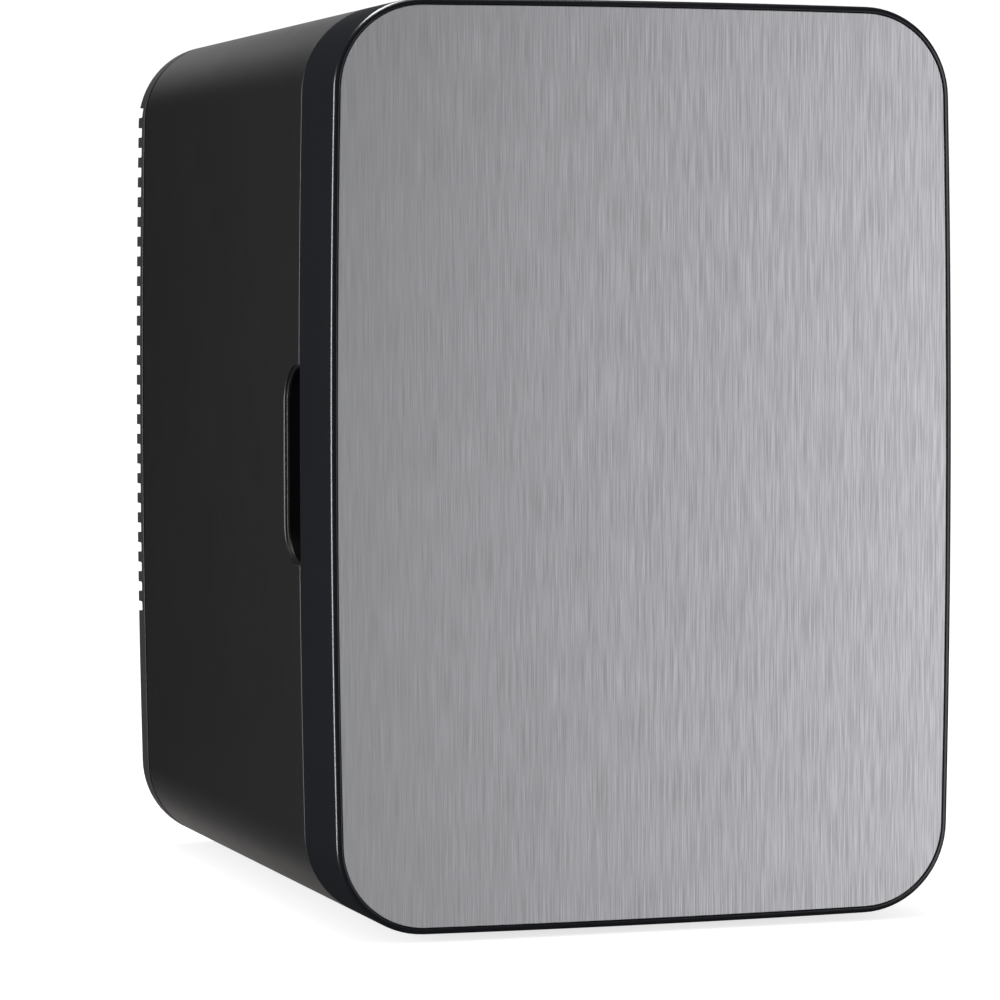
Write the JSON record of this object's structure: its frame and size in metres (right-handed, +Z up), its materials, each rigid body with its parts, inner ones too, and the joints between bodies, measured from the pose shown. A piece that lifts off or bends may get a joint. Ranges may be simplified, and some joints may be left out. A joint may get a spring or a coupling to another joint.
{
  "type": "mini fridge",
  "caption": "Small free-standing thermoelectric fridge with a thick right-hinged door faced in brushed steel, a side finger pocket and a slotted rear cover.",
  "frame": {"origin": "on the floor, at the centre of the overall box", "axes": "+X right as seen from the front, +Y towards the back, +Z up; the door's front faces -Y"},
  "size_m": [0.294, 0.37, 0.407],
  "materials": {
    "shell_black": "satin moulded black plastic",
    "cover_black": "fine-grained moulded black plastic",
    "door_black": "semi-gloss moulded black plastic",
    "steel_front": "vertical brush grain",
    "liner_grey": "light grey vacuum-formed plastic",
    "foam": "rigid insulating foam",
    "clear_plastic": "clear polystyrene",
    "rubber_black": "matt rubber",
    "magnet": "flexible magnet strip",
    "aluminium": "extruded aluminium",
    "ceramic_white": "unglazed white ceramic",
    "switch_white": "moulded white plastic",
    "board_green": "circuit board with solder mask",
    "winding": "ferrite core and taped copper winding",
    "light_green": "clear green lens",
    "light_red": "clear red lens",
    "zinc_steel": "zinc-plated steel",
    "dark_plastic": "black engineering plastic"
  },
  "bodies": {
    "cabinet": {"board_heat_sink": "aluminium", "cabinet_shell": "shell_black", "capacitor": "dark_plastic", "clamp_screw_1": "zinc_steel", "clamp_screw_2": "zinc_steel", "cold_block": "aluminium", "cold_fan_frame": "dark_plastic", "cold_heat_sink": "aluminium", "dc_socket": "dark_plastic", "foot_front_left": "rubber_black", "foot_front_right": "rubber_black", "foot_rear_left": "rubber_black", "foot_rear_right": "rubber_black", "hinge_leaf_cabinet_lower": "dark_plastic", "hinge_leaf_cabinet_upper": "dark_plastic", "hinge_pin_lower": "zinc_steel", "hinge_pin_upper": "zinc_steel", "hinge_screw_cabinet_lower_bottom": "zinc_steel", "hinge_screw_cabinet_lower_top": "zinc_steel", "hinge_screw_cabinet_upper_bottom": "zinc_steel", "hinge_screw_cabinet_upper_top": "zinc_steel", "hot_fan_frame": "dark_plastic", "hot_heat_sink": "aluminium", "indicator_board": "board_green", "indicator_light_cold": "light_green", "indicator_light_warm": "light_red", "inner_fan_cover": "liner_grey", "inner_liner": "liner_grey", "insulation_foam": "foam", "mains_inlet": "dark_plastic", "mode_switch_body": "dark_plastic", "peltier_module": "ceramic_white", "power_board": "board_green", "rear_cover": "cover_black", "rear_cover_screw_1": "zinc_steel", "rear_cover_screw_2": "zinc_steel", "rear_cover_screw_3": "zinc_steel", "rear_cover_screw_4": "zinc_steel", "rear_partition": "dark_plastic", "strike_plate": "zinc_steel", "transformer": "winding"},
    "door": {"door_bin_lower": "clear_plastic", "door_bin_upper": "clear_plastic", "door_foam": "foam", "door_gasket": "rubber_black", "door_inner_liner": "liner_grey", "door_magnet": "magnet", "door_shell": "door_black", "door_steel_panel": "steel_front", "hinge_leaf_door_lower": "dark_plastic", "hinge_leaf_door_upper": "dark_plastic", "hinge_screw_door_lower_bottom": "zinc_steel", "hinge_screw_door_lower_top": "zinc_steel", "hinge_screw_door_upper_bottom": "zinc_steel", "hinge_screw_door_upper_top": "zinc_steel"},
    "cold_fan_rotor": {"cold_fan_rotor": "dark_plastic"},
    "hot_fan_rotor": {"hot_fan_rotor": "dark_plastic"},
    "mode_slider": {"mode_switch_slider": "switch_white"},
    "shelf": {"removable_shelf": "clear_plastic"}
  },
  "joints": [
    {"name": "door_hinge", "type": "hinge", "parent": "cabinet", "child": "door", "pos_m": [0.1434, -0.133, 0.205], "axis": [0, 0, 1], "range_deg": [0, 165]},
    {"name": "shelf_slide", "type": "slide", "parent": "cabinet", "child": "shelf", "axis": [0, -1, 0], "range_m": [0, 0.03]},
    {"name": "mode_switch_slide", "type": "slide", "parent": "cabinet", "child": "mode_slider", "axis": [1, 0, 0], "range_m": [-0.004, 0.004]},
    {"name": "cold_fan_spin", "type": "hinge", "parent": "cabinet", "child": "cold_fan_rotor", "pos_m": [-0.003, 0.0115, 0.265], "axis": [0, 1, 0], "continuous": true},
    {"name": "hot_fan_spin", "type": "hinge", "parent": "cabinet", "child": "hot_fan_rotor", "pos_m": [-0.003, 0.1335, 0.265], "axis": [0, 1, 0], "continuous": true}
  ]
}
